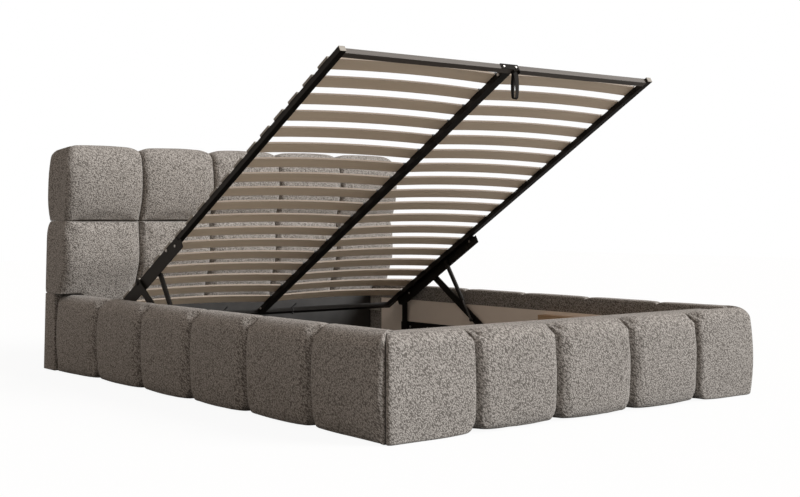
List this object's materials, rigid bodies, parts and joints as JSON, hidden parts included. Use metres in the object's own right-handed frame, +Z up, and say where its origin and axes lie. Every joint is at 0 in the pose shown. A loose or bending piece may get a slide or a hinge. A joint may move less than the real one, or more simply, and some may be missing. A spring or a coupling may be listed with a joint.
{
  "type": "storage bed",
  "caption": "Upholstered storage bed with channelled pads and a slatted platform that lifts at the foot end on links and gas struts.",
  "frame": {"origin": "on the floor, under the middle of the bed", "axes": "+X to the right seen from the foot, +Y towards the headboard, +Z up"},
  "size_m": [1.8218, 2.4666, 1.2407],
  "materials": {
    "back_cloth": "black lining cloth on board",
    "beech": "bent laminated slat, clear sealed",
    "black_paint": "black powder coat",
    "black_plastic": "moulded",
    "boucle": "coarse looped boucle",
    "chipboard": "raw board",
    "chrome_rod": "polished",
    "dark_board": "thin dark-faced board",
    "grey_paint": "light grey powder coat",
    "grey_plastic": "moulded",
    "lining": "matt woven lining",
    "softwood": "planed, unfinished",
    "webbing": "woven webbing",
    "zinc": "zinc plated"
  },
  "bodies": {
    "base": {"base_plate_bolts": "zinc", "base_plate_left": "black_paint", "base_plate_right": "black_paint", "corner_plate_left": "grey_paint", "corner_plate_right": "grey_paint", "corner_strip_left": "boucle", "corner_strip_right": "boucle", "floor_beam": "softwood", "floor_bearers": "softwood", "floor_glides": "black_plastic", "floor_panel_left": "dark_board", "floor_panel_right": "dark_board", "foot_board": "chipboard", "foot_inner_board": "chipboard", "foot_top_board": "chipboard", "foot_upholstery": "boucle", "head_cross_board": "chipboard", "head_inner_panel": "dark_board", "headboard_back_cover": "back_cloth", "headboard_board": "chipboard", "headboard_lower_pads": "boucle", "headboard_ribs": "softwood", "headboard_side_pad_left": "boucle", "headboard_side_pad_right": "boucle", "headboard_upper_pads": "boucle", "side_board_left": "chipboard", "side_board_right": "chipboard", "side_lining_left": "lining", "side_lining_right": "lining", "side_upholstery_left": "boucle", "side_upholstery_right": "boucle", "support_ledge_left": "softwood", "support_ledge_right": "softwood"},
    "rear_links": {"rear_link_left": "black_paint", "rear_link_right": "black_paint"},
    "front_links": {"front_link_left": "black_paint", "front_link_right": "black_paint"},
    "platform": {"cable_ties": "black_plastic", "centre_tube": "black_paint", "centre_tube_bolts": "zinc", "end_caps": "grey_plastic", "foot_tube": "black_paint", "head_tube": "black_paint", "lift_plate_bolts": "zinc", "lift_plate_left": "black_paint", "lift_plate_right": "black_paint", "side_tube_left": "black_paint", "side_tube_right": "black_paint", "slat_holders_centre": "black_plastic", "slat_holders_left": "grey_plastic", "slat_holders_right": "grey_plastic", "slats_left": "beech", "slats_right": "beech", "strap_anchor": "webbing", "strap_screws": "zinc"},
    "strut_tubes": {"strut_tube_left": "black_paint", "strut_tube_right": "black_paint"},
    "strut_rods": {"strut_rod_left": "chrome_rod", "strut_rod_right": "chrome_rod"},
    "pull_strap": {"lift_strap": "webbing"}
  },
  "joints": [
    {"name": "front_link_swing", "type": "hinge", "parent": "base", "child": "front_links", "pos_m": [0, 0.1468, 0.133], "axis": [1, 0, 0], "range_deg": [-18.87, 0]},
    {"name": "platform_tilt", "type": "hinge", "parent": "front_links", "child": "platform", "pos_m": [0, 0.57196, 0.40864], "axis": [1, 0, 0], "range_deg": [0, 49.3]},
    {"name": "rear_link_swing", "type": "hinge", "parent": "base", "child": "rear_links", "pos_m": [0, 0.7725, 0.133], "axis": [1, 0, 0], "range_deg": [-38.56, 0]},
    {"name": "strut_swing", "type": "hinge", "parent": "platform", "child": "strut_tubes", "pos_m": [0, 0.43056, 0.46506], "axis": [1, 0, 0], "range_deg": [-68.56, 0]},
    {"name": "strut_stroke", "type": "slide", "parent": "strut_tubes", "child": "strut_rods", "axis": [0, -0.5628, -0.8266], "range_m": [-0.08831, 0]},
    {"name": "strap_swing", "type": "hinge", "parent": "platform", "child": "pull_strap", "pos_m": [0.027, -0.81002, 1.20706], "axis": [1, 0, 0], "range_deg": [-60, 45]}
  ],
  "couplings": [
    {"joint": "front_link_swing", "follows": "platform_tilt", "ratio": -0.38255},
    {"joint": "rear_link_swing", "follows": "platform_tilt", "ratio": -0.78194},
    {"joint": "strut_swing", "follows": "platform_tilt", "ratio": -1.3906},
    {"joint": "strut_stroke", "follows": "platform_tilt", "m_per_rad": -0.10252}
  ]
}
